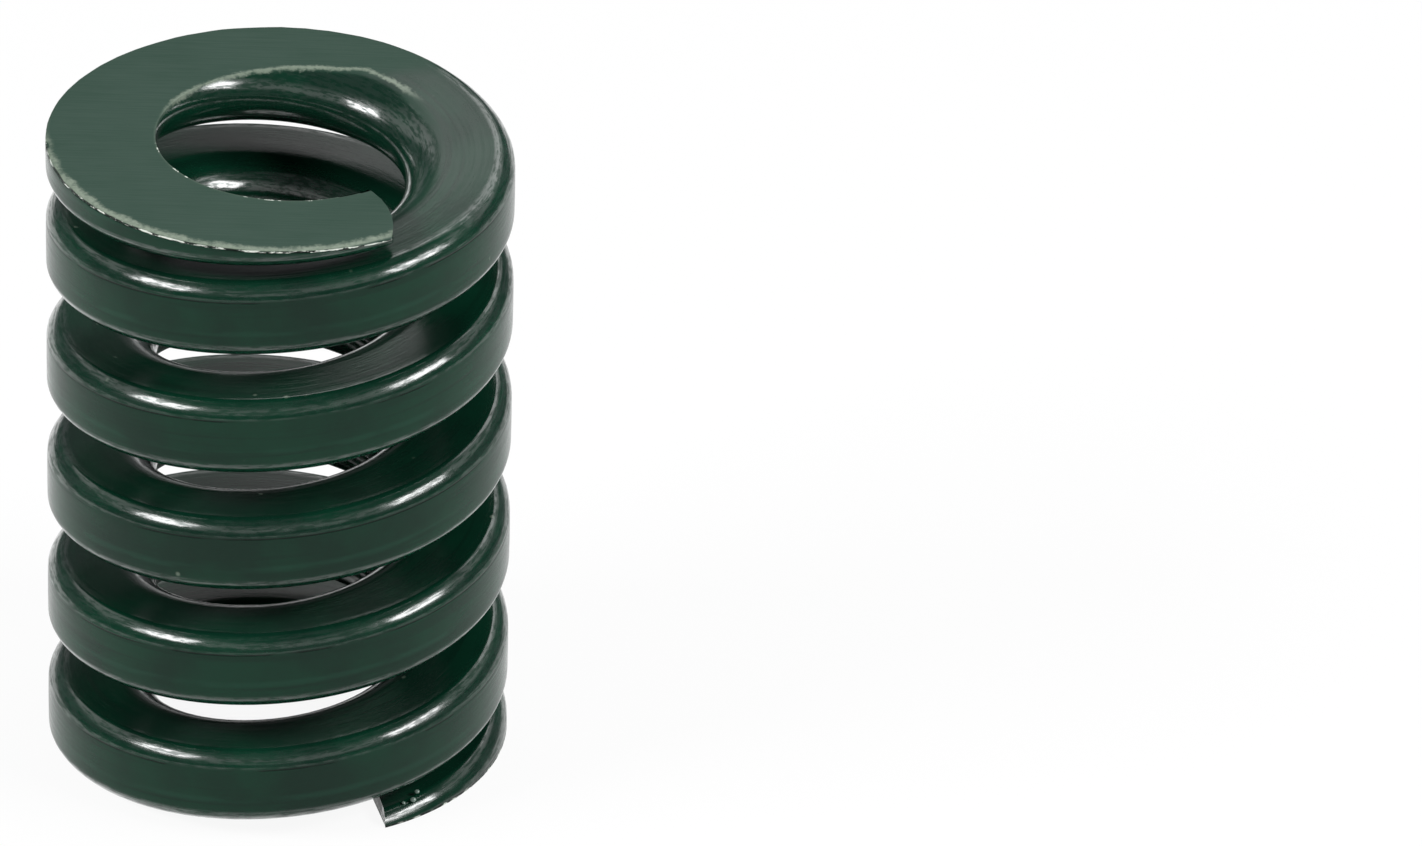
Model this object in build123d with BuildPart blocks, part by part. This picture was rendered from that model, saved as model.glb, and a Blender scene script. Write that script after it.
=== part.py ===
from build123d import *
import os
from math import cos, pi, radians, sin

# A heavy-load die spring: keystone wire coiled right-handed, ends closed and ground flat.
# Millimetres. The origin is the centre of the bottom seat and the coil axis is +Z.

# Sold size: works in a 35 mm pocket, over a 17.5 mm rod, 50 mm free length.
OUTER_D = 34.4  # over the coils
INNER_D = 18.3  # through the coils
FREE_LENGTH = 50.0

# Wire section, as it lies in a plane through the axis.
LAND_H = 6.2  # axial height at the outer face
NOSE_H = 5.3  # axial height at the inner face, so the flanks taper
SHOULDER = 0.85  # flat broken across each outer corner
NOSE_CORNER = 2.5  # radius
OUTER_STOCK = 0.1  # the coil is made this much proud and then sized to OUTER_D
INNER_STOCK = 0.15  # the same at the bore, which leaves the flat that the mandrel rolls

# Coiling, counted in turns from the bottom tip.
TURNS = 6.0
TIP_AZIMUTH = -56.0  # degrees, both tips stand one above the other
TIP_THICKNESS = 1.1  # what the grinding leaves of the wire at each tip
BOTTOM_CLOSED = 0.6  # turns laid closed before the pitch opens
TOP_CLOSED = 0.9
RAMP = 0.3  # turns over which the pitch changes
BOTTOM_PITCH = 6.5  # rise per turn where the coil is closed
TOP_PITCH = 7.2

SECTIONS_PER_TURN = 10
OVERRUN = 0.05  # turns coiled past each tip, which the cut-off takes away again

# Cut-off of the tips, as angles at which the blade leaves the bore and the outside.
BLADE_INNER_AZIMUTH = -49.0
BLADE_OUTER_AZIMUTH = -60.0
BLADE_BULGE = 0.7  # the top tip is cut to a shallow curve
CUT_REACH = 18.0  # degrees of waste taken off past each cut
CUT_ROOM = 0.3  # how far the cut passes the tip's thickness, short of the next coil

OUTER_R = OUTER_D / 2
INNER_R = INNER_D / 2
SUNK = LAND_H / 2 - TIP_THICKNESS  # how far the wire's centre lies past a seat at a tip
RISE = FREE_LENGTH + 2 * SUNK
BOTTOM_SLOW = BOTTOM_CLOSED + RAMP / 2
TOP_SLOW = TOP_CLOSED + RAMP / 2
ACTIVE_PITCH = (RISE - BOTTOM_PITCH * BOTTOM_SLOW - TOP_PITCH * TOP_SLOW) / (TURNS - BOTTOM_SLOW - TOP_SLOW)


def eased(t):
    """Area under a smooth step of unit width, from its start to t."""
    if t <= 0:
        return 0.0
    if t >= 1:
        return t - 0.5
    return t**3 - t**4 / 2


def centre_height(turn):
    """Height of the wire's centre: closed, then opening to the active pitch, then closed again."""
    opening = (ACTIVE_PITCH - BOTTOM_PITCH) * RAMP * eased((turn - BOTTOM_CLOSED) / RAMP)
    closing_start = TURNS - TOP_CLOSED - RAMP
    closing = (ACTIVE_PITCH - TOP_PITCH) * RAMP * eased((turn - closing_start) / RAMP)
    return BOTTOM_PITCH * turn + opening - closing - SUNK


def spot(radius, azimuth):
    """A point in plan at a radius from the axis and an angle in degrees."""
    return (radius * cos(radians(azimuth)), radius * sin(radians(azimuth)))


def section_plane(turn):
    """Plane through the axis at a turn of the coil: its X is radial and its Y is up."""
    azimuth = radians(TIP_AZIMUTH) + 2 * pi * turn
    radial = (cos(azimuth), sin(azimuth), 0)
    against_coil = (sin(azimuth), -cos(azimuth), 0)
    return Plane(origin=(0, 0, centre_height(turn)), x_dir=radial, z_dir=against_coil)


def wire_section(turn):
    """The keystone section, tall outside and tapering to a rounded nose, at a turn of the coil."""
    inside = INNER_R - INNER_STOCK
    outside = OUTER_R + OUTER_STOCK
    with BuildSketch(section_plane(turn)) as section:
        with BuildLine():
            Polyline(
                (inside, -NOSE_H / 2),
                (outside, -LAND_H / 2),
                (outside, LAND_H / 2),
                (inside, NOSE_H / 2),
                close=True,
            )
        make_face()
        fillet(section.vertices().group_by(Axis.X)[0], NOSE_CORNER)
        chamfer(section.vertices().group_by(Axis.X)[-1], SHOULDER)
    return section.sketch


with BuildPart() as die_spring:
    # The coil, lofted through sections that climb the helix.
    steps = round((TURNS + 2 * OVERRUN) * SECTIONS_PER_TURN)
    loft([wire_section(step / SECTIONS_PER_TURN - OVERRUN) for step in range(steps + 1)], clean=False)

    # The bore and the outside are sized to true cylinders.
    with BuildSketch(Plane.XY.offset(-FREE_LENGTH / 2)):
        Circle(INNER_R)
    extrude(amount=2 * FREE_LENGTH, mode=Mode.SUBTRACT, clean=False)
    with BuildSketch(Plane.XY.offset(-FREE_LENGTH / 2)):
        Circle(1.1 * OUTER_R)
        Circle(OUTER_R, mode=Mode.SUBTRACT)
    extrude(amount=2 * FREE_LENGTH, mode=Mode.SUBTRACT, clean=False)

    # Both seats are ground flat.
    split(bisect_by=Plane.XY, keep=Keep.TOP)
    split(bisect_by=Plane.XY.offset(FREE_LENGTH), keep=Keep.BOTTOM)

    # The bottom tip is sheared straight, a little off the radius.
    blade_inner = spot(INNER_R, BLADE_INNER_AZIMUTH)
    blade_outer = spot(OUTER_R, BLADE_OUTER_AZIMUTH)
    with BuildSketch(Plane.XY):
        with BuildLine():
            Polyline(
                blade_inner,
                blade_outer,
                spot(1.1 * OUTER_R, BLADE_OUTER_AZIMUTH),
                spot(1.1 * OUTER_R, BLADE_OUTER_AZIMUTH - CUT_REACH),
                spot(0.9 * INNER_R, BLADE_OUTER_AZIMUTH - CUT_REACH),
                spot(0.9 * INNER_R, BLADE_INNER_AZIMUTH),
                close=True,
            )
        make_face()
    extrude(amount=TIP_THICKNESS + CUT_ROOM, mode=Mode.SUBTRACT, clean=False)

    # The top tip is cut to a shallow outward curve.
    middle_x = (blade_inner[0] + blade_outer[0]) / 2 + BLADE_BULGE
    middle_y = (blade_inner[1] + blade_outer[1]) / 2
    with BuildSketch(Plane.XY.offset(FREE_LENGTH - TIP_THICKNESS - CUT_ROOM)):
        with BuildLine():
            ThreePointArc(blade_inner, (middle_x, middle_y), blade_outer)
            Polyline(
                blade_outer,
                spot(1.1 * OUTER_R, BLADE_OUTER_AZIMUTH),
                spot(1.1 * OUTER_R, BLADE_INNER_AZIMUTH + CUT_REACH),
                spot(0.9 * INNER_R, BLADE_INNER_AZIMUTH + CUT_REACH),
                spot(0.9 * INNER_R, BLADE_INNER_AZIMUTH),
                blade_inner,
            )
        make_face()
    extrude(amount=FREE_LENGTH, mode=Mode.SUBTRACT, clean=False)

die_spring.part.label = "die_spring"
os.makedirs("parts", exist_ok=True)
export_step(die_spring.part, "parts/die_spring.step")
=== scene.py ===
"""A die spring in gloss enamel: the coiled keystone wire, its ground seats, and the studio round it."""

import logging
import math
from dataclasses import dataclass, field
from enum import Enum

import bmesh
import bpy
from mathutils import Matrix, Vector, noise


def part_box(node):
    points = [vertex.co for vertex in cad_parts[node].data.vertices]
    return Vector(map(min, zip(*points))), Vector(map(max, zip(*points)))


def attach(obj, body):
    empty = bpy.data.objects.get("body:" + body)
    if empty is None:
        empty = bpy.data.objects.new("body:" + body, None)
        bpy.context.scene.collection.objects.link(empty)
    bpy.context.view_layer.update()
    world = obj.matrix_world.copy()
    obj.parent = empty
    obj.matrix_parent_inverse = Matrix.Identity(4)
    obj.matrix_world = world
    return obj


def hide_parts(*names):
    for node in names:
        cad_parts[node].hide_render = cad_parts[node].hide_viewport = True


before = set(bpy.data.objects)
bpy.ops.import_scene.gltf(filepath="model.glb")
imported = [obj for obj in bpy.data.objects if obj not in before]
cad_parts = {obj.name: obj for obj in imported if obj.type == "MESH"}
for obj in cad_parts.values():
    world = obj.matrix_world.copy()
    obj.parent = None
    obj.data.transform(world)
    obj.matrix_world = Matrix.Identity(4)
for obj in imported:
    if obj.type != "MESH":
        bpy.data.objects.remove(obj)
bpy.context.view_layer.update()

log = logging.getLogger("die_spring")

MM = 0.001
NODE = "die_spring"
BODY = "root"
WHITE = (1.0, 1.0, 1.0, 1.0)
SHARP_DEGREES = 32.0
SEAM_GAP = 0.5e-6


def eased(t: float) -> float:
    """Return the smooth step of t, 0 below 0 and 1 above 1."""
    t = min(max(t, 0.0), 1.0)
    return t * t * (3 - 2 * t)


def eased_area(t: float) -> float:
    """Return the area under the smooth step, from its start to t.

    Args:
        t: Where the area ends, from 0 at the step's start to 1 at its end, or past them.

    Returns:
        The area, which is 0 before the step and grows evenly after it.
    """
    if t <= 0:
        return 0.0
    if t >= 1:
        return t - 0.5
    return t**3 - t**4 / 2


# Shader arithmetic ----------------------------------------------------------------------------


class Signal:
    """An output socket that takes part in arithmetic, where each operation adds a Math node."""

    def __init__(self, tree: "Tree", socket: bpy.types.NodeSocket) -> None:
        """Wrap a socket of a tree."""
        self.tree = tree
        self.socket = socket

    def _math(self, operation: str, *terms: object, clamp: bool = False) -> "Signal":
        """Return the result of a Math node.

        Args:
            operation: The Math node's operation.
            terms: Its inputs in order, as signals or numbers.
            clamp: Whether the result is kept between 0 and 1.

        Returns:
            The node's output.
        """
        settings = {"operation": operation, "use_clamp": clamp}
        return self.tree.node("ShaderNodeMath", settings, dict(enumerate(terms)))["Value"]

    def __add__(self, other: object) -> "Signal":
        """Add."""
        return self._math("ADD", self, other)

    __radd__ = __add__

    def __mul__(self, other: object) -> "Signal":
        """Multiply."""
        return self._math("MULTIPLY", self, other)

    __rmul__ = __mul__

    def __sub__(self, other: object) -> "Signal":
        """Subtract."""
        return self._math("SUBTRACT", self, other)

    def __rsub__(self, other: object) -> "Signal":
        """Subtract from a number."""
        return self._math("SUBTRACT", other, self)

    def size(self) -> "Signal":
        """Return the absolute value."""
        return self._math("ABSOLUTE", self)

    def clamped(self) -> "Signal":
        """Return the value kept between 0 and 1."""
        return self._math("ADD", self, 0.0, clamp=True)

    def between(self, low: float, high: float) -> "Signal":
        """Return a smooth rise from 0 to 1.

        Args:
            low: The value at which the result is 0.
            high: The value at which it is 1, which may be below low for a fall.

        Returns:
            The smooth step, as a Map Range node's output.
        """
        limits = {"Value": self, "From Min": low, "From Max": high, "To Min": 0.0, "To Max": 1.0}
        settings = {"interpolation_type": "SMOOTHSTEP", "clamp": True}
        return self.tree.node("ShaderNodeMapRange", settings, limits)["Result"]

    def near(self, middle: "Signal | float", gone: float, full: float) -> "Signal":
        """Return 1 near a middle value, fading smoothly to 0 from full to gone away from it."""
        return (self - middle).size().between(gone, full)

    def spread(self, low: float, high: float) -> "Signal":
        """Return a value from 0 to 1 spread from low to high."""
        return self * (high - low) + low


class Placed:
    """A node in a tree, whose outputs are read as signals by name."""

    def __init__(self, tree: "Tree", node: bpy.types.Node) -> None:
        """Wrap a node of a tree."""
        self.tree = tree
        self.node = node

    def __getitem__(self, key: str) -> Signal:
        """Return the enabled output of that name or identifier."""
        found = (s for s in self.node.outputs if s.enabled and key in (s.name, s.identifier))
        return Signal(self.tree, next(found))


@dataclass(frozen=True)
class Grain:
    """A noise pattern: how fine it is along each axis, in spans to the metre, and how rich."""

    fineness: tuple[float, float, float]
    detail: float
    roughness: float = 0.5


class Tree:
    """A node tree that is written as expressions."""

    def __init__(self, owner: bpy.types.Material | bpy.types.World) -> None:
        """Start an empty tree.

        Args:
            owner: The material or world that the tree belongs to.
        """
        owner.use_nodes = True
        self.nodes = owner.node_tree.nodes
        self.links = owner.node_tree.links
        self.nodes.clear()

    def node(self, kind: str, settings: dict | None = None, inputs: dict | None = None) -> Placed:
        """Add a node.

        Args:
            kind: The node's type.
            settings: Its properties, set before its sockets.
            inputs: Values or signals by the socket's name, identifier or number.

        Returns:
            The placed node.
        """
        made = self.nodes.new(kind)
        for name, value in (settings or {}).items():
            setattr(made, name, value)
        for key, value in (inputs or {}).items():
            socket = self._input(made, key)
            if isinstance(value, Signal):
                self.links.new(value.socket, socket)
            else:
                socket.default_value = value
        return Placed(self, made)

    @staticmethod
    def _input(made: bpy.types.Node, key: str | int) -> bpy.types.NodeSocket:
        """Return an input of a node.

        Args:
            made: The node.
            key: The input's number, or the name or identifier of an enabled one.

        Returns:
            The socket.
        """
        if isinstance(key, int):
            return made.inputs[key]
        return next(s for s in made.inputs if s.enabled and key in (s.name, s.identifier))

    def blend(self, mask: Signal | float, base: object, top: object) -> Signal:
        """Return the mix of two colours by a mask."""
        inputs = {"Factor_Float": mask, "A_Color": base, "B_Color": top}
        return self.node("ShaderNodeMix", {"data_type": "RGBA"}, inputs)["Result_Color"]

    def lerp(self, mask: Signal, base: object, top: object) -> Signal:
        """Return the mix of two values by a mask."""
        inputs = {"Factor_Float": mask, "A_Float": base, "B_Float": top}
        return self.node("ShaderNodeMix", {"data_type": "FLOAT"}, inputs)["Result_Float"]

    def noise(self, vector: Signal, grain: Grain) -> Signal:
        """Return a noise pattern, from 0 to 1.

        Args:
            vector: Where the pattern is read, in metres.
            grain: How fine and how rich it is.

        Returns:
            The pattern's value.
        """
        terms = {0: vector, 1: grain.fineness}
        stretched = self.node("ShaderNodeVectorMath", {"operation": "MULTIPLY"}, terms)["Vector"]
        inputs = {"Vector": stretched, "Scale": 1.0, "Detail": grain.detail, "Roughness": grain.roughness}
        return self.node("ShaderNodeTexNoise", {}, inputs)["Fac"]

    def nearest_dot(self, vector: Signal, fineness: float) -> Signal:
        """Return the distance from the nearest of many scattered dots, in spans of the pattern."""
        inputs = {"Vector": vector, "Scale": fineness}
        return self.node("ShaderNodeTexVoronoi", {"feature": "F1"}, inputs)["Distance"]

    def attribute(self, name: str) -> tuple[Signal, tuple[Signal, Signal, Signal]]:
        """Return a mesh attribute as a vector, and its three components."""
        vector = self.node("ShaderNodeAttribute", {"attribute_name": name})["Vector"]
        return vector, self.parts(vector)

    def parts(self, vector: Signal) -> tuple[Signal, Signal, Signal]:
        """Return the three components of a vector."""
        split = self.node("ShaderNodeSeparateXYZ", {}, {"Vector": vector})
        return split["X"], split["Y"], split["Z"]


# Finishes ----------------------------------------------------------------------------------


def near_seats(z: Signal, free_length: float, gone: float, full: float) -> Signal:
    """Return the mask of what lies near the two seats.

    Args:
        z: Height above the bottom seat.
        free_length: Height of the top seat.
        gone: Distance from a seat at which the mask is 0.
        full: Distance at which it is 1.

    Returns:
        The mask.
    """
    middle = free_length / 2
    return (z - middle).size().between(middle - gone, middle - full)


@dataclass(frozen=True)
class PaleBand:
    """A pale, ragged band along an edge of a seat, where the enamel is worn thin, its paleness partly a
    painted reflection of light off the edge.
    """

    width: float
    drifting: float
    ragged: float
    held_back: float
    fade: tuple[float, float]
    widths: tuple[float, float]
    strengths: tuple[float, float]

    def build(self, distance: Signal, side: Signal, drift: Signal, ragged: Signal) -> Signal:
        """Return the band's mask.

        Args:
            distance: Distance from the edge.
            side: Mask of the side of the spring on which the band is widest and strongest.
            drift: The slow noise that widens and narrows it.
            ragged: The fine noise that frays it.

        Returns:
            The mask.
        """
        shape = drift * self.drifting + ragged * self.ragged - self.held_back
        width = shape * side.spread(*self.widths) * self.width
        return (width - distance).between(*self.fade) * side.spread(*self.strengths)


@dataclass(frozen=True)
class RimMasks:
    """Where the enamel is pale, cracked and flecked along the seats' edges, partly wear and partly painted
    highlight, shade and glints, and the noise that frays it.
    """

    pale: Signal
    shaded_crack: Signal
    glinting_fleck: Signal
    ragged: Signal


@dataclass(frozen=True)
class ChippedRim:
    """The enamel's chipping along the edges of the ground seats, strongest in front, with light and shade
    painted into it: pale bands partly painted reflection and highlight, cracks painted shade, flecks painted
    glints.
    """

    free_length: float
    # Outer band: worn-thin enamel, its paleness partly a painted reflection, strongest in front.
    outer_band: PaleBand = PaleBand(
        width=1.6 * MM,
        drifting=0.9,
        ragged=0.5,
        held_back=0.25,
        fade=(-0.15 * MM, 0.45 * MM),
        widths=(0.07, 1.0),
        strengths=(0.2, 1.0),
    )
    # Inner band: a painted highlight along the bore's rim, strongest at the back.
    inner_band: PaleBand = PaleBand(
        width=0.5 * MM,
        drifting=0.6,
        ragged=1.4,
        held_back=0.7,
        fade=(-0.15 * MM, 0.25 * MM),
        widths=(0.35, 1.45),
        strengths=(0.4, 0.85),
    )
    ragged: Grain = Grain((2600.0, 2600.0, 2600.0), 4.0, 0.7)
    drift: Grain = Grain((420.0, 420.0, 420.0), 2.0)
    dashes: Grain = Grain((1200.0, 1200.0, 5200.0), 3.0, 0.7)
    # Where the rim marks are strongest: in front for the outer band, cracks and flecks, at the back for the
    # inner band, where the painted light falls.
    front: tuple = (4.0 * MM, -7.0 * MM)
    back: tuple = (2.0 * MM, 6.0 * MM)
    nicked_front: tuple = (0.0, -3.0 * MM)
    rim_height: tuple = (0.6 * MM, 0.3 * MM)
    flat_height: tuple = (0.1 * MM, 0.04 * MM)
    crack_line: tuple = (0.18 * MM, 0.06 * MM)
    crack_drop: float = 0.35 * MM
    crack_rise: float = 0.3
    crack_breaks: tuple = (0.36, 0.46)
    fleck_line: tuple = (0.13 * MM, 0.06 * MM)
    fleck_drop: float = 0.05 * MM
    fleck_dashes: tuple = (0.5, 0.56)
    flecked_stretches: tuple = (0.36, 0.48)
    nick_line: tuple = (0.13 * MM, 0.05 * MM)
    nick_dashes: tuple = (0.54, 0.6)
    nicked_stretches: tuple = (0.47, 0.55)
    frayed_patches: tuple = (0.3, 0.6)
    frayed_strengths: tuple = (0.6, 1.0)

    def build(self, tree: Tree, place: Signal, y: Signal, z: Signal) -> RimMasks:
        """Add the masks to a tree.

        Args:
            tree: The tree to add to.
            place: Object coordinates.
            y: Their second component.
            z: Their third component.

        Returns:
            The masks.
        """
        _, (outer, inner, _) = tree.attribute("edges")
        near_plane = near_seats(z, self.free_length, *self.rim_height)
        on_flat = near_seats(z, self.free_length, *self.flat_height)
        ragged = tree.noise(place, self.ragged)
        drift = tree.noise(place, self.drift)
        dashes = tree.noise(place, self.dashes)
        front = y.between(*self.front)

        worn_and_reflecting = self.outer_band.build(outer, front, drift, ragged) * on_flat
        worn_and_reflecting = worn_and_reflecting * ragged.between(*self.frayed_patches).spread(*self.frayed_strengths)
        inner_painted_highlight = self.inner_band.build(inner.size(), y.between(*self.back), drift, ragged)
        pale = (worn_and_reflecting + inner_painted_highlight).clamped() * near_plane

        below = outer * -1.0
        # The crack is a dark line under the chipped lip, its darkness painted shade.
        shaded_crack = below.near((drift - self.crack_rise) * self.crack_drop, *self.crack_line)
        shaded_crack = shaded_crack * ragged.between(*self.crack_breaks) * front * near_plane
        # Flecks and nicks are chips in the enamel whose bright colour is a painted glint.
        glinting_fleck = dashes.between(*self.fleck_dashes) * drift.between(*self.flecked_stretches)
        glinting_fleck = glinting_fleck * front * below.near(self.fleck_drop, *self.fleck_line)
        nick = dashes.between(*self.nick_dashes) * drift.between(*self.nicked_stretches)
        nick = nick * y.between(*self.nicked_front) * inner.size().between(*self.nick_line)
        return RimMasks(pale, shaded_crack, ((glinting_fleck + nick) * near_plane).clamped(), ragged)


@dataclass(frozen=True)
class DrawLinesAndPaintedLight:
    """Marks along the wire's outer side: a scored draw line, its darkness painted shade, and a pale band
    that is a painted sheen.
    """

    score_rise: float = 1.72 * MM
    score_line: tuple = (0.09 * MM, 0.03 * MM)
    score_breaks: tuple = (0.42, 0.55)
    sheen_rise: float = -0.8 * MM
    sheen_line: tuple = (0.4 * MM, 0.05 * MM)
    sheen_breaks: tuple = (0.35, 0.6)
    wander: Grain = Grain((40.0, 0.0, 0.0), 3.0)
    wander_height: float = 0.6 * MM
    breaks: Grain = Grain((260.0, 900.0, 900.0), 2.0)
    outer_side: tuple = (0.5 * MM, 0.3 * MM)

    def build(self, tree: Tree, wire: Signal, rise: Signal, depth: Signal) -> tuple[Signal, Signal]:
        """Add the masks to a tree.

        Args:
            tree: The tree to add to.
            wire: The wire attribute.
            rise: Height in the section.
            depth: Distance in from the outer side.

        Returns:
            A fine score under the shoulder, its darkness painted shade, and a soft pale painted sheen along
            the lower half.
        """
        outside = depth.between(*self.outer_side)
        broken = tree.noise(wire, self.breaks)
        placed = rise + (tree.noise(wire, self.wander) - 0.5) * self.wander_height
        # The score is a real groove, and the dark colour given to it is painted shade.
        shaded_score = placed.near(self.score_rise, *self.score_line) * broken.between(*self.score_breaks)
        # The pale band is painted light: a sheen of reflection painted into the colour.
        painted_sheen = placed.near(self.sheen_rise, *self.sheen_line) * broken.between(*self.sheen_breaks)
        return shaded_score * outside, painted_sheen * outside


@dataclass(frozen=True)
class Relief:
    """How far each mark lifts the enamel or sinks into it, in units of the bump's distance."""

    unit: float = 8e-6
    lines: float = 1.3
    ripples: float = 1.3
    long_lines: float = 2.0
    shaded_score: float = -1.5
    orange_peel: float = 0.6
    specks: float = 1.2
    brushing: float = 0.7
    frayed_rim: float = 2.0
    shaded_crack: float = -3.0


@dataclass(frozen=True)
class Cover:
    """How far each mark turns the enamel to its own colour."""

    long_lines: float = 0.7
    painted_sheen: float = 0.35
    shaded_score: float = 0.85
    brushing: float = 0.3
    seat_mottle: float = 0.2
    specks: float = 0.5


@dataclass(frozen=True)
class Enamel:
    """Gloss dark green enamel over hot-coiled wire, satin and brushed where the seats are ground."""

    free_length: float
    name: str = "green_enamel"
    green: tuple = (0.003, 0.033, 0.017, 1.0)
    deep_green: tuple = (0.003, 0.021, 0.012, 1.0)
    # Painted sheen colour, lighter than the enamel.
    painted_sheen_green: tuple = (0.010, 0.058, 0.034, 1.0)
    seat_green: tuple = (0.024, 0.058, 0.040, 1.0)
    pale_edge: tuple = (0.22, 0.27, 0.21, 1.0)
    # Near black: painted shade in the cracks and the score.
    shaded_crack: tuple = (0.001, 0.005, 0.003, 1.0)
    # Nearly white: painted glints on the chipped flecks and nicks.
    glinting_fleck: tuple = (0.75, 0.8, 0.72, 1.0)
    cover: Cover = Cover()
    relief: Relief = Relief()
    gloss: float = 0.12
    mottled_gloss: float = 0.05
    lined_gloss: float = 0.1
    satin: float = 0.42
    brushed_satin: float = 0.12
    specular: float = 0.18
    coat_roughness: float = 0.13
    line_grain: Grain = Grain((150.0, 4200.0, 4200.0), 4.0, 0.65)
    long_line_grain: Grain = Grain((45.0, 1100.0, 1100.0), 2.0)
    ripple_grain: Grain = Grain((1100.0, 4600.0, 4600.0), 3.0, 0.6)
    peel_grain: Grain = Grain((900.0, 900.0, 900.0), 2.0)
    mottle_grain: Grain = Grain((160.0, 160.0, 160.0), 3.0)
    brushed_grain: Grain = Grain((180.0, 5200.0, 1.0), 4.0, 0.65)
    speck_grain: Grain = Grain((300.0, 300.0, 300.0), 1.0)
    speck_fineness: float = 420.0
    speck_dot: tuple = (0.12, 0.05)
    specked_patches: tuple = (0.58, 0.64)
    deep_patches: tuple = (0.35, 0.7)
    deep_lines: tuple = (0.47, 0.35)
    brush_marks: tuple = (0.35, 0.68)
    seat_patches: tuple = (0.4, 0.7)
    dull_patches: tuple = (0.3, 0.75)
    dull_lines: tuple = (0.4, 0.75)
    streak_lines: float = 0.45
    streak_ripples: float = 0.55
    coat_streaks: tuple = (0.42, 0.55)
    coat_strengths: tuple = (0.1, 1.0)
    ground_height: tuple = (0.28 * MM, 0.03 * MM)
    shoulder_depth: tuple = (1.68 * MM, 1.32 * MM)
    shoulder_rise: tuple = (1.71 * MM, 1.995 * MM)
    nose_depth: tuple = (5.6 * MM, 6.2 * MM)
    nose_share: float = 1.2

    def build(self) -> bpy.types.Material:
        """Make the material.

        Returns:
            The material, which reads Object coordinates and the wire and edges attributes.
        """
        material = bpy.data.materials.new(self.name)
        tree = Tree(material)
        place = tree.node("ShaderNodeTexCoord")["Object"]
        _, y, z = tree.parts(place)
        wire, (_, rise, depth) = tree.attribute("wire")

        ground = near_seats(z, self.free_length, *self.ground_height)
        rim = ChippedRim(self.free_length).build(tree, place, y, z)
        shaded_score, painted_sheen = DrawLinesAndPaintedLight().build(tree, wire, rise, depth)
        lines = tree.noise(wire, self.line_grain)
        long_lines = tree.noise(wire, self.long_line_grain)
        ripples = tree.noise(wire, self.ripple_grain)
        mottle = tree.noise(place, self.mottle_grain)
        brushed = tree.noise(place, self.brushed_grain)
        specks = self._specks(tree, place)

        cover = self.cover
        paint = tree.blend(mottle.between(*self.deep_patches), self.green, self.deep_green)
        paint = tree.blend(long_lines.between(*self.deep_lines) * cover.long_lines, paint, self.deep_green)
        # Painted sheen: a lighter green band along the wall, in place of a reflection.
        paint = tree.blend(painted_sheen * cover.painted_sheen, paint, self.painted_sheen_green)
        # Painted shade: the score's groove darkened nearly to black.
        paint = tree.blend(shaded_score * cover.shaded_score, paint, self.shaded_crack)
        darker = brushed.between(*self.brush_marks) * cover.brushing
        darker = darker + mottle.between(*self.seat_patches) * cover.seat_mottle
        paint = tree.blend(ground, paint, tree.blend(darker, self.seat_green, self.green))
        paint = tree.blend(specks * cover.specks, paint, self.pale_edge)
        # Pale rims: worn-thin enamel and painted reflection and highlight along the seats' edges.
        paint = tree.blend(rim.pale, paint, self.pale_edge)
        # Painted shade: the dark crack under the chipped lip.
        paint = tree.blend(rim.shaded_crack, paint, self.shaded_crack)
        # Painted glints: bright flecks along the chipped rims.
        paint = tree.blend(rim.glinting_fleck, paint, self.glinting_fleck)

        smudge = mottle.between(*self.dull_patches) * self.mottled_gloss
        smudge = smudge + lines.between(*self.dull_lines) * self.lined_gloss
        roughness = tree.lerp(ground, smudge + self.gloss, brushed * self.brushed_satin + self.satin)

        height = self.relief
        drawn = lines * height.lines + ripples * height.ripples + long_lines * height.long_lines
        marks = (1.0 - ground) * (drawn + shaded_score * height.shaded_score)
        marks = marks + tree.noise(place, self.peel_grain) * height.orange_peel + specks * height.specks
        marks = marks + ground * brushed * height.brushing
        marks = marks + rim.pale * rim.ragged * height.frayed_rim + rim.shaded_crack * height.shaded_crack
        shape = {"Height": marks, "Distance": height.unit, "Strength": 1.0}

        streaks = (lines * self.streak_lines + ripples * self.streak_ripples).between(*self.coat_streaks)
        coat = self._polished(rise, depth) * (1.0 - ground) * streaks.spread(*self.coat_strengths)
        inputs = {
            "Base Color": paint,
            "Roughness": roughness,
            "Normal": tree.node("ShaderNodeBump", {}, shape)["Normal"],
            "Specular IOR Level": self.specular,
            "Coat Weight": coat,
            "Coat Roughness": self.coat_roughness,
        }
        body = tree.node("ShaderNodeBsdfPrincipled", {}, inputs)["BSDF"]
        tree.node("ShaderNodeOutputMaterial", {}, {"Surface": body})
        return material

    def _polished(self, rise: Signal, depth: Signal) -> Signal:
        """Return the mask of the rounded shoulders and nose, where the enamel has flowed to a high gloss.

        Args:
            rise: Height in the section.
            depth: Distance in from the outer side.

        Returns:
            The mask.
        """
        shoulder = depth.between(*self.shoulder_depth) * rise.size().between(*self.shoulder_rise)
        return shoulder + depth.between(*self.nose_depth) * self.nose_share

    def _specks(self, tree: Tree, place: Signal) -> Signal:
        """Return the mask of dust nibs under the paint.

        Args:
            tree: The tree to add to.
            place: Object coordinates.

        Returns:
            The mask of small dots, only here and there.
        """
        dots = tree.nearest_dot(place, self.speck_fineness).between(*self.speck_dot)
        return dots * tree.noise(place, self.speck_grain).between(*self.specked_patches)


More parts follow.
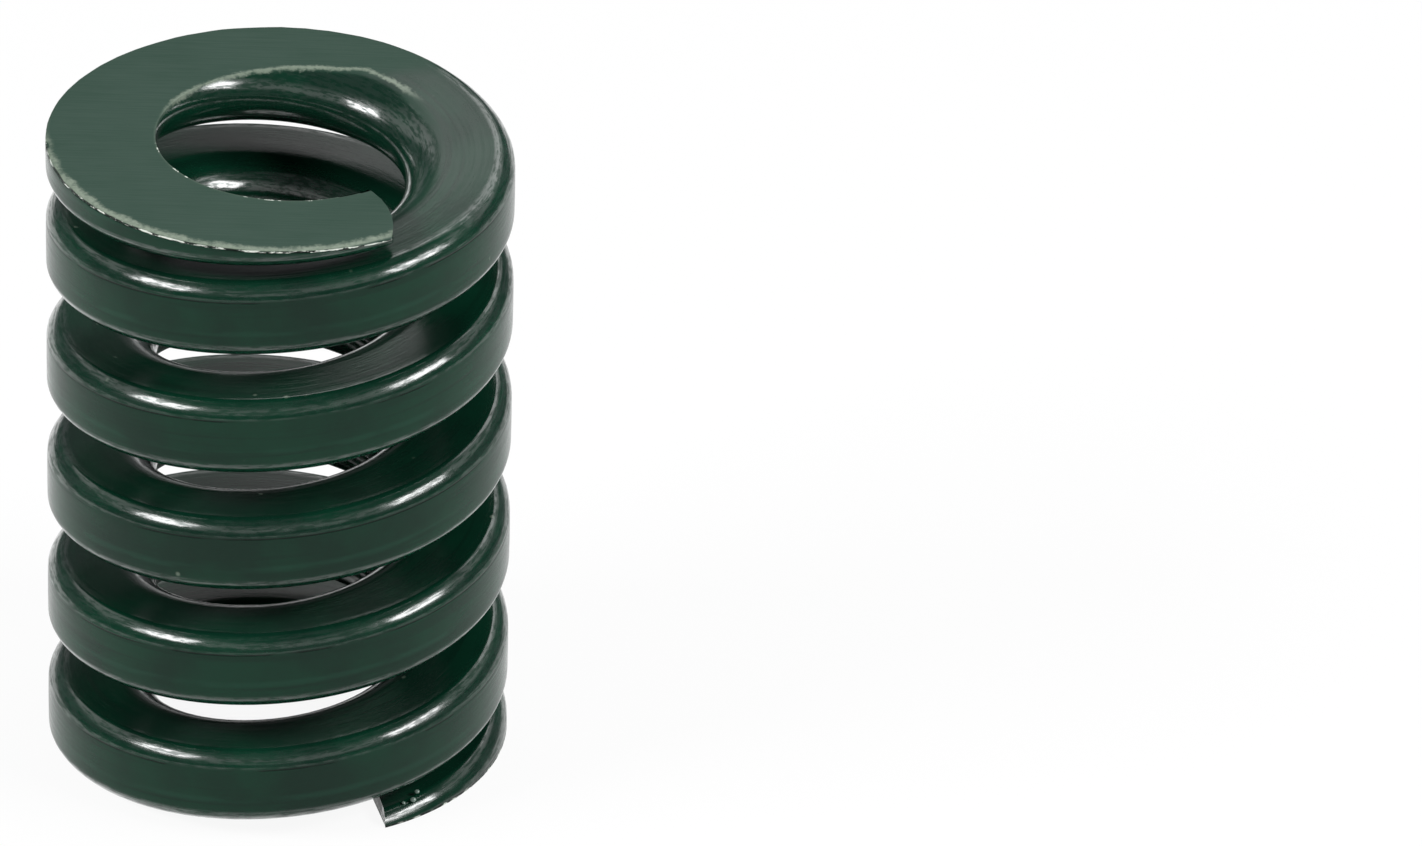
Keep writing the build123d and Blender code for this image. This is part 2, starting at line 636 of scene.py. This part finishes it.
@dataclass(frozen=True)
class DripPaintWithHighlight:
    """Glossy enamel of the drips, made pale as a painted highlight."""

    name: str = "drip_paint_with_highlight"
    # Paler than the enamel: a painted highlight on the drips.
    colour: tuple = (0.2, 0.27, 0.23, 1.0)
    gloss: float = 0.08

    def build(self) -> bpy.types.Material:
        """Make the material.

        Returns:
            The material, one plain paint all over.
        """
        material = bpy.data.materials.new(self.name)
        tree = Tree(material)
        inputs = {"Base Color": self.colour, "Roughness": self.gloss}
        body = tree.node("ShaderNodeBsdfPrincipled", {}, inputs)["BSDF"]
        tree.node("ShaderNodeOutputMaterial", {}, {"Surface": body})
        return material


@dataclass(frozen=True)
class StageWhite:
    """Plain white floor that reads as pure white but keeps a soft shadow."""

    name: str = "stage_white"
    paper: tuple = (0.9, 0.9, 0.9, 1.0)
    white_share: float = 0.92

    def build(self) -> bpy.types.Material:
        """Make the material.

        Returns:
            The material, plain diffuse to light and white to the camera and in reflections.
        """
        material = bpy.data.materials.new(self.name)
        tree = Tree(material)
        seen = seen_directly(tree)
        paper = tree.node("ShaderNodeBsdfDiffuse", {}, {"Color": self.paper})["BSDF"]
        white = tree.node("ShaderNodeEmission", {}, {"Color": WHITE, "Strength": 1.0})["Emission"]
        inputs = {0: seen * self.white_share, 1: paper, 2: white}
        surface = tree.node("ShaderNodeMixShader", {}, inputs)["Shader"]
        tree.node("ShaderNodeOutputMaterial", {}, {"Surface": surface})
        return material


def seen_directly(tree: Tree, in_gloss: Signal | float = 1.0) -> Signal:
    """Return the mask of rays that show a white surface as such.

    Args:
        tree: The tree to add to.
        in_gloss: The share for rays of a reflection.

    Returns:
        1 for rays from the camera and through glass, the share in reflections, and 0 for light.
    """
    path = tree.node("ShaderNodeLightPath")
    total = path["Is Camera Ray"] + path["Is Glossy Ray"] * in_gloss + path["Is Transmission Ray"]
    return total.clamped()


# The wire's section ----------------------------------------------------------------------------


@dataclass(frozen=True)
class KeystoneSection:
    """The wire's section: tall outside, tapering to a rounded nose, in metres from its own centre."""

    outer_radius: float
    bore_radius: float = 9.15 * MM
    land: float = 6.2 * MM
    nose: float = 5.3 * MM
    shoulder_width: float = 1.1 * MM
    shoulder_height: float = 1.3 * MM
    nose_corner: float = 2.5 * MM
    nose_width: float = 3.1 * MM
    shoulder_pull: float = 0.36
    nose_pull: float = 0.48
    barrel: float = 0.05 * MM
    corner_steps: int = 8
    wall_steps: int = 8
    nose_steps: int = 10
    nose_flat_steps: int = 2
    rim_offsets: tuple = (0.1 * MM, 0.22 * MM, 0.36 * MM)
    flank_steps: int = 5
    search_steps: int = 24

    @property
    def outer_steps(self) -> int:
        """Number of steps up the outer side."""
        return 2 * self.corner_steps + self.wall_steps

    @property
    def inner_steps(self) -> int:
        """Number of steps up the nose."""
        return 2 * self.nose_steps + self.nose_flat_steps

    @property
    def flank_count(self) -> int:
        """Number of points strictly inside a flank."""
        return 2 * len(self.rim_offsets) + self.flank_steps - 1

    @property
    def count(self) -> int:
        """Number of points round the whole section."""
        return self.outer_steps + self.inner_steps + 2 + 2 * self.flank_count

    def flank_height(self, radius: float) -> float:
        """Return the height of the upper flank at a radius."""
        share = (radius - self.bore_radius) / (self.outer_radius - self.bore_radius)
        return (self.nose + share * (self.land - self.nose)) / 2

    @staticmethod
    def _corner(start: Vector, corner: Vector, end: Vector, t: float, pull: float) -> Vector:
        """Return a point on a rounded corner.

        Args:
            start: Where the corner leaves its first side.
            corner: The sharp corner.
            end: Where it meets its second side.
            t: Share of the way round.
            pull: How full it is, where 0.55 is a circle and less a softer bevel.

        Returns:
            The point, on a cubic curve that meets both sides smoothly.
        """
        first = start.lerp(corner, pull)
        second = end.lerp(corner, pull)
        s = 1 - t
        return start * s**3 + first * (3 * s * s * t) + second * (3 * s * t * t) + end * t**3

    def side_point(self, outside: bool, step: float) -> Vector:
        """Return a point on the outer side or the nose.

        Args:
            outside: Whether it is the outer side.
            step: Steps up from the lower flank, whole or not.

        Returns:
            Radius and height.
        """
        steps = self.outer_steps if outside else self.inner_steps
        bend = self.corner_steps if outside else self.nose_steps
        below = step < steps / 2
        up = steps - step if below else step
        radius = self.outer_radius if outside else self.bore_radius
        width = -self.shoulder_width if outside else self.nose_width
        drop = self.shoulder_height if outside else self.nose_corner
        corner = Vector((radius, self.flank_height(radius)))
        start = Vector((radius, corner.y - drop))
        end = Vector((radius + width, self.flank_height(radius + width)))
        if up > steps - bend:
            pull = self.shoulder_pull if outside else self.nose_pull
            point = self._corner(start, corner, end, (up - (steps - bend)) / bend, pull)
        else:
            half = (steps - 2 * bend) / 2
            point = Vector((radius, start.y * (up - steps / 2) / half))
        if outside:
            point.x -= self.barrel * (point.y / corner.y) ** 2
        if below:
            point.y = -point.y
        return point

    def step_at(self, outside: bool, height: float) -> float:
        """Return the step on a side at which it reaches a height.

        Args:
            outside: Whether it is the outer side.
            height: The height, from the section's centre.

        Returns:
            The step, whole or not, kept within the side.
        """
        low, high = 0.0, float(self.outer_steps if outside else self.inner_steps)
        if height >= self.side_point(outside, high).y:
            return high
        if height <= self.side_point(outside, low).y:
            return low
        for _ in range(self.search_steps):
            middle = (low + high) / 2
            if self.side_point(outside, middle).y < height:
                low = middle
            else:
                high = middle
        return (low + high) / 2

    def outline(self, floor: float, ceiling: float) -> list[Vector]:
        """Return the points round the section, ground off below a floor and above a ceiling.

        Args:
            floor: Height of the lower grinding plane, from the section's centre.
            ceiling: Height of the upper one.

        Returns:
            Points up the outer side, in along the top, down the nose and out along the bottom.
        """
        outer = self._side(True, floor, ceiling)
        inner = self._side(False, floor, ceiling)
        top = self._flank(outer[-1], inner[-1], 1, ceiling)
        bottom = self._flank(inner[0], outer[0], -1, -floor)
        return outer + top + inner[::-1] + bottom

    def edge_distances(self, outline: list[Vector]) -> list[tuple[float, float, float]]:
        """Return how far each point is from the flanks' outer and inner edges.

        Args:
            outline: The points round the section.

        Returns:
            For each point the distance from the nearer outer edge, from the nearer inner edge, and 0.
            A distance is positive on the flanks and negative on the sides.
        """
        top_inner = self.outer_steps + self.flank_count + 1
        bottom_inner = top_inner + self.inner_steps
        outer_corners = outline[self.outer_steps], outline[0]
        inner_corners = outline[top_inner], outline[bottom_inner]
        found = []
        for index, point in enumerate(outline):
            from_outer = min((point - corner).length for corner in outer_corners)
            from_inner = min((point - corner).length for corner in inner_corners)
            outer_sign = -1 if index <= self.outer_steps else 1
            inner_sign = -1 if top_inner <= index <= bottom_inner else 1
            found.append((outer_sign * from_outer, inner_sign * from_inner, 0.0))
        return found

    def _side(self, outside: bool, floor: float, ceiling: float) -> list[Vector]:
        """Return the points up one side, spread over what the grinding leaves of it.

        Args:
            outside: Whether it is the outer side.
            floor: Height of the lower grinding plane, from the section's centre.
            ceiling: Height of the upper one.

        Returns:
            The points, as many as on a whole side.
        """
        low, high = self.step_at(outside, floor), self.step_at(outside, ceiling)
        steps = self.outer_steps if outside else self.inner_steps
        return [self.side_point(outside, low + (high - low) * i / steps) for i in range(steps + 1)]

    def _flank(self, start: Vector, end: Vector, sign: int, limit: float) -> list[Vector]:
        """Return the points inside a flank, dense along its two edges.

        Args:
            start: The flank's first corner.
            end: Its last corner.
            sign: 1 on the upper flank and -1 on the lower.
            limit: The grinding plane's height on that side, measured away from the centre.

        Returns:
            The points between the corners.
        """
        span = (end - start).length
        rims = [offset / span for offset in self.rim_offsets]
        first, last = rims[-1], 1 - rims[-1]
        middle = [first + (last - first) * i / self.flank_steps for i in range(1, self.flank_steps)]
        shares = rims + middle + [1 - rim for rim in reversed(rims)]
        points = []
        for share in shares:
            point = start.lerp(end, share)
            height = min(self.flank_height(point.x), limit)
            points.append(Vector((point.x, sign * height)))
        return points


# The coil ----------------------------------------------------------------------------------


class End(Enum):
    """The two ends of the coil."""

    BOTTOM = "bottom"
    TOP = "top"


@dataclass(frozen=True)
class ChippedEdge:
    """The outer edge of the top seat, where the paint and burr are chipped back, with one notch."""

    outer_radius: float
    free_length: float
    depth: float = 0.13 * MM
    reach: float = 0.4 * MM
    shares: tuple = (0.35, 1.0, 0.55, 0.2)
    edge_place: int = 1
    front_start: float = 0.1
    front_span: float = 0.6
    everywhere: float = 0.35
    coarse: float = 0.6
    coarse_fineness: float = 700.0
    fine: float = 0.5
    fine_fineness: float = 2600.0
    inward: float = 0.5
    notch_azimuth: float = -173.0
    notch_degrees: float = 2.2
    notch_depth: float = 0.4 * MM

    def moved(self, spot: Vector, from_edge: int) -> Vector:
        """Return a point of the coil, chipped back if it is near the edge.

        Args:
            spot: The point.
            from_edge: How many points it is past the edge, in along the seat.

        Returns:
            The point, moved down and in by a ragged amount.
        """
        place = from_edge + self.edge_place
        if not 0 <= place < len(self.shares) or self.free_length - spot.z > self.reach:
            return spot
        share = self.shares[place]
        past_start = self.front_start * self.outer_radius - spot.y
        front = eased(past_start / (self.front_span * self.outer_radius))
        azimuth = math.degrees(math.atan2(spot.y, spot.x))
        notch = eased(1 - abs(azimuth - self.notch_azimuth) / self.notch_degrees)
        frayed = self.coarse + self.coarse * noise.noise(spot * self.coarse_fineness)
        frayed += self.fine * noise.noise(spot * self.fine_fineness)
        depth = self.depth * share * (self.everywhere + (1 - self.everywhere) * front) * frayed
        depth = max(depth, 0.0) + self.notch_depth * share * notch
        moved = spot - Vector((0, 0, depth))
        if from_edge <= 0:
            moved -= Vector((spot.x, spot.y, 0)).normalized() * (self.inward * depth)
        return moved


@dataclass
class CoiledWire:
    """The die spring's one wire, coiled right-hand, closed and ground at both ends."""

    outer_radius: float
    free_length: float
    turns: float = 6.0
    tip_azimuth: float = -56.0
    tip_thickness: float = 1.1 * MM
    bottom_closed: float = 0.6
    top_closed: float = 0.9
    ramp: float = 0.3
    bottom_pitch: float = 6.5 * MM
    top_pitch: float = 7.2 * MM
    blade_inner_azimuth: float = -49.0
    blade_outer_azimuth: float = -60.0
    blade_bulge: float = 0.7 * MM
    blade_blend: float = 0.06
    ring_degrees: float = 3.0
    fine_ring_degrees: float = 0.6
    fine_turns: float = 0.34
    turn_slack: float = 1e-9
    section: KeystoneSection = field(init=False)
    chipped_edge: ChippedEdge = field(init=False)

    def __post_init__(self) -> None:
        """Work out the section, the chipped edge and the pitch of the open coils."""
        self.section = KeystoneSection(self.outer_radius)
        self.chipped_edge = ChippedEdge(self.outer_radius, self.free_length)
        self.sunk = self.section.land / 2 - self.tip_thickness
        rise = self.free_length + 2 * self.sunk
        bottom_slow = self.bottom_closed + self.ramp / 2
        top_slow = self.top_closed + self.ramp / 2
        slow_rise = self.bottom_pitch * bottom_slow + self.top_pitch * top_slow
        self.active_pitch = (rise - slow_rise) / (self.turns - bottom_slow - top_slow)

    def centre_height(self, turn: float) -> float:
        """Return the height of the wire's centre.

        Args:
            turn: Turns of the coil from the bottom tip.

        Returns:
            The height above the bottom seat, rising slowly at both ends and faster between them.
        """
        opening = (self.active_pitch - self.bottom_pitch) * self.ramp
        opening *= eased_area((turn - self.bottom_closed) / self.ramp)
        closing = (self.active_pitch - self.top_pitch) * self.ramp
        closing *= eased_area((turn - (self.turns - self.top_closed - self.ramp)) / self.ramp)
        return self.bottom_pitch * turn + opening - closing - self.sunk

    def _ring_turns(self) -> list[float]:
        """Work out where the rings of points lie, closest at the bottom tip and in the last of the top coil.

        Returns:
            The turn of every ring, from the bottom tip to the top one.
        """
        turn, found = 0.0, [0.0]
        while turn < self.turns - self.turn_slack:
            fine = turn > self.turns - self.fine_turns or turn < self.blade_blend
            step = (self.fine_ring_degrees if fine else self.ring_degrees) / 360
            turn = min(turn + step, self.turns)
            found.append(turn)
        return found

    def _blade_turn(self, radius: float, end: End) -> float:
        """Return how far past the tip's azimuth the blade cuts.

        Args:
            radius: Where it cuts.
            end: Which tip it cuts, of which the top one is cut to a shallow curve.

        Returns:
            The distance in turns, below 0 where the cut falls short of that azimuth.
        """
        inner, outer = self.section.bore_radius, self.outer_radius
        share = (radius - inner) / (outer - inner)
        azimuth = self.blade_inner_azimuth + share * (self.blade_outer_azimuth - self.blade_inner_azimuth)
        past = math.radians(azimuth - self.tip_azimuth)
        if end is End.TOP:
            past += self.blade_bulge * (1 - (2 * share - 1) ** 2) / radius
        return past / (2 * math.pi)

    def _vertex_turn(self, turn: float, radius: float) -> float:
        """Return the turn of a point, with the rings near a tip slanted to the blade's cut.

        Args:
            turn: The turn of the point's ring.
            radius: The point's radius.

        Returns:
            The point's own turn.
        """
        near_bottom = 1 - eased(turn / self.blade_blend)
        near_top = 1 - eased((self.turns - turn) / self.blade_blend)
        slant = near_bottom * self._blade_turn(radius, End.BOTTOM)
        slant += near_top * self._blade_turn(radius, End.TOP)
        return turn + slant

    def build(self) -> bpy.types.Object:
        """Make the coil's mesh.

        Returns:
            The object, with the wire attribute holding length along, height and depth in the section,
            and the edges attribute holding the distances from the flanks' two edges.
        """
        turns = self._ring_turns()
        count = self.section.count
        mesh = bmesh.new()
        bmesh.ops.create_grid(mesh, x_segments=count, y_segments=len(turns) - 1, size=self.outer_radius)
        wire = mesh.verts.layers.float_vector.new("wire")
        edges = mesh.verts.layers.float_vector.new("edges")
        mesh.verts.ensure_lookup_table()
        for ring, turn in enumerate(turns):
            centre = self.centre_height(turn)
            outline = self.section.outline(-centre, self.free_length - centre)
            distances = self.section.edge_distances(outline)
            for index, point in enumerate(outline + outline[:1]):
                vertex = mesh.verts[ring * (count + 1) + index]
                own_turn = self._vertex_turn(turn, point.x)
                azimuth = math.radians(self.tip_azimuth) + 2 * math.pi * own_turn
                height = self.centre_height(own_turn) + point.y
                height = min(max(height, 0.0), self.free_length)
                spot = Vector((point.x * math.cos(azimuth), point.x * math.sin(azimuth), height))
                vertex.co = self.chipped_edge.moved(spot, index - self.section.outer_steps)
                along = own_turn * math.pi * (self.outer_radius + self.section.bore_radius)
                vertex[wire] = (along, point.y, self.outer_radius - point.x)
                vertex[edges] = distances[index % count]
        self._close_tips(mesh)
        bmesh.ops.recalc_face_normals(mesh, faces=mesh.faces[:])
        return finished_object("coiled_wire", mesh)

    @staticmethod
    def _close_tips(mesh: bmesh.types.BMesh) -> None:
        """Close the seam along the wire and both sheared tips.

        Args:
            mesh: The coil's bmesh, whose first and last points round the section lie together.
        """
        bmesh.ops.remove_doubles(mesh, verts=mesh.verts[:], dist=SEAM_GAP)
        open_edges = [edge for edge in mesh.edges if edge.is_boundary]
        bmesh.ops.holes_fill(mesh, edges=open_edges, sides=0)


@dataclass(frozen=True)
class PaintDrip:
    """A small drip of enamel that dried on the bottom coil beside its tip."""

    azimuth: float
    radius: float
    height: float
    size: float
    flatness: float = 0.75
    subdivisions: int = 3

    def build(self, name: str) -> bpy.types.Object:
        """Make the drip as a flattened ball.

        Args:
            name: The piece's name.

        Returns:
            The object.
        """
        turn = math.radians(self.azimuth)
        place = Vector((self.radius * math.cos(turn), self.radius * math.sin(turn), self.height))
        mesh = bmesh.new()
        bmesh.ops.create_icosphere(mesh, subdivisions=self.subdivisions, radius=self.size)
        bmesh.ops.scale(mesh, vec=Vector((1.0, 1.0, self.flatness)), verts=mesh.verts[:])
        bmesh.ops.translate(mesh, vec=place, verts=mesh.verts[:])
        return finished_object(name, mesh)


@dataclass(frozen=True)
class DieSpring:
    """The whole spring: its coiled wire, and the drips of paint beside its bottom tip."""

    outer_radius: float
    free_length: float
    drips: tuple = (
        PaintDrip(-53.0, 16.4 * MM, 1.15 * MM, 0.14 * MM),
        PaintDrip(-50.4, 16.6 * MM, 1.25 * MM, 0.22 * MM),
        PaintDrip(-48.0, 16.2 * MM, 1.50 * MM, 0.19 * MM),
    )

    def build(self) -> list[bpy.types.Object]:
        """Make the pieces, dress them in their paint and place them in the frame.

        Returns:
            The pieces, of which the first is the coiled wire.
        """
        coil = CoiledWire(self.outer_radius, self.free_length).build()
        coil.data.materials.append(Enamel(self.free_length).build())
        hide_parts(NODE)
        highlit_drip_paint = DripPaintWithHighlight().build()
        pieces = [coil]
        for number, drip in enumerate(self.drips, start=1):
            piece = drip.build(f"paint_drip_{number}")
            piece.data.materials.append(highlit_drip_paint)
            pieces.append(piece)
        for piece in pieces:
            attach(piece, BODY)
        return pieces


def finished_object(name: str, mesh: bmesh.types.BMesh) -> bpy.types.Object:
    """Turn a bmesh into a smooth-shaded object at the origin.

    Args:
        name: The piece's name.
        mesh: The bmesh, which is freed.

    Returns:
        The object, linked to the scene.
    """
    data = bpy.data.meshes.new(name)
    mesh.to_mesh(data)
    mesh.free()
    data.shade_smooth()
    data.set_sharp_from_angle(angle=math.radians(SHARP_DEGREES))
    made = bpy.data.objects.new(name, data)
    bpy.context.scene.collection.objects.link(made)
    return made


# The studio --------------------------------------------------------------------------------


@dataclass(frozen=True)
class SoftLamp:
    """A soft lamp that faces the spring."""

    name: str
    azimuth: float
    elevation: float
    distance: float
    size: tuple[float, float]
    brightness: float

    def build(self, target: Vector) -> None:
        """Hang the lamp, at an azimuth measured from the front towards the right.

        Args:
            target: The point that the lamp faces.
        """
        turn, climb = math.radians(self.azimuth), math.radians(self.elevation)
        level = math.cos(climb)
        away = Vector((math.sin(turn) * level, -math.cos(turn) * level, math.sin(climb)))
        data = bpy.data.lights.new(self.name, "AREA")
        data.shape = "RECTANGLE"
        data.size, data.size_y = self.size
        data.energy = self.brightness * math.pi * self.size[0] * self.size[1]
        lamp = bpy.data.objects.new(self.name, data)
        lamp.location = target + away * self.distance
        lamp.rotation_euler = (-away).to_track_quat("-Z", "Y").to_euler()
        bpy.context.scene.collection.objects.link(lamp)


@dataclass
class Studio:
    """White floor, soft lamps and the camera."""

    centre: Vector
    floor_side: float = 6.0
    floor_squares: int = 8
    floor_gap: float = 0.05 * MM
    world_strength: float = 0.2
    world_colour: tuple = (0.95, 0.95, 1.0, 1.0)
    wall_foot: tuple = (0.39, 0.48)
    wall_top: tuple = (0.86, 0.64)
    elevation: float = 29.93
    roll: float = 1.415
    distance: float = 0.927
    lens: float = 316.6
    aim_right: float = 32.0 * MM
    aim_up: float = 0.72 * MM
    clip: tuple = (0.01, 50.0)
    lamps: tuple = (
        SoftLamp("left_softbox", -69.0, 37.0, 0.6, (0.28, 0.15), 20.0),
        SoftLamp("right_softbox", 71.0, 37.0, 0.6, (0.28, 0.15), 20.0),
        SoftLamp("back_softbox", 168.0, 50.0, 0.7, (0.7, 0.32), 1.7),
    )

    def build(self) -> None:
        """Set up the floor, the light and the camera."""
        self._lay_floor()
        self._light_world()
        for lamp in self.lamps:
            lamp.build(self.centre)
        self._place_camera()
        bpy.context.scene.view_settings.view_transform = "Standard"

    def _lay_floor(self) -> None:
        """Lay the floor a hair under the bottom seat, so that the two don't share a plane."""
        mesh = bmesh.new()
        squares, half = self.floor_squares, self.floor_side / 2
        bmesh.ops.create_grid(mesh, x_segments=squares, y_segments=squares, size=half)
        bmesh.ops.translate(mesh, vec=Vector((0, 0, -self.floor_gap)), verts=mesh.verts[:])
        floor = finished_object("floor", mesh)
        floor.data.materials.append(StageWhite().build())

    def _light_world(self) -> None:
        """Give the world a dim even light, and white where it is seen, in gloss only as a back wall."""
        world = bpy.data.worlds.new("studio")
        bpy.context.scene.world = world
        tree = Tree(world)
        light = {"Color": self.world_colour, "Strength": self.world_strength}
        dim = tree.node("ShaderNodeBackground", {}, light)
        white = tree.node("ShaderNodeBackground", {}, {"Color": WHITE, "Strength": 1.0})
        _, _, upward = tree.parts(tree.node("ShaderNodeTexCoord")["Generated"])
        wall = upward.between(*self.wall_foot) * upward.between(*self.wall_top)
        seen = seen_directly(tree, wall)
        inputs = {0: seen, 1: dim["Background"], 2: white["Background"]}
        surface = tree.node("ShaderNodeMixShader", {}, inputs)["Shader"]
        tree.node("ShaderNodeOutputWorld", {}, {"Surface": surface})

    def _place_camera(self) -> None:
        """Place the camera in front and above, aimed to the right of the spring."""
        climb, tilt = math.radians(self.elevation), math.radians(self.roll)
        back = Vector((0, -math.cos(climb), math.sin(climb)))
        level = Vector((1, 0, 0))
        upright = back.cross(level)
        right = level * math.cos(tilt) + upright * math.sin(tilt)
        up = upright * math.cos(tilt) - level * math.sin(tilt)
        data = bpy.data.cameras.new("camera")
        data.lens = self.lens
        data.clip_start, data.clip_end = self.clip
        camera = bpy.data.objects.new("camera", data)
        place = self.centre + back * self.distance + right * self.aim_right + up * self.aim_up
        camera.matrix_world = Matrix.Translation(place) @ Matrix((right, up, back)).transposed().to_4x4()
        bpy.context.scene.collection.objects.link(camera)
        bpy.context.scene.camera = camera


# The whole scene -------------------------------------------------------------------------------


def main() -> None:
    """Build the spring and the studio, and report each piece."""
    logging.basicConfig(level=logging.INFO, format="%(message)s")
    low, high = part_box(NODE)
    spring = DieSpring(outer_radius=(high.x - low.x) / 2, free_length=high.z - low.z)
    for piece in spring.build():
        log.info("%s: %d faces", piece.name, len(piece.data.polygons))

    Studio((low + high) / 2).build()
    log.info("sizes written")


if __name__ == "__main__":
    main()
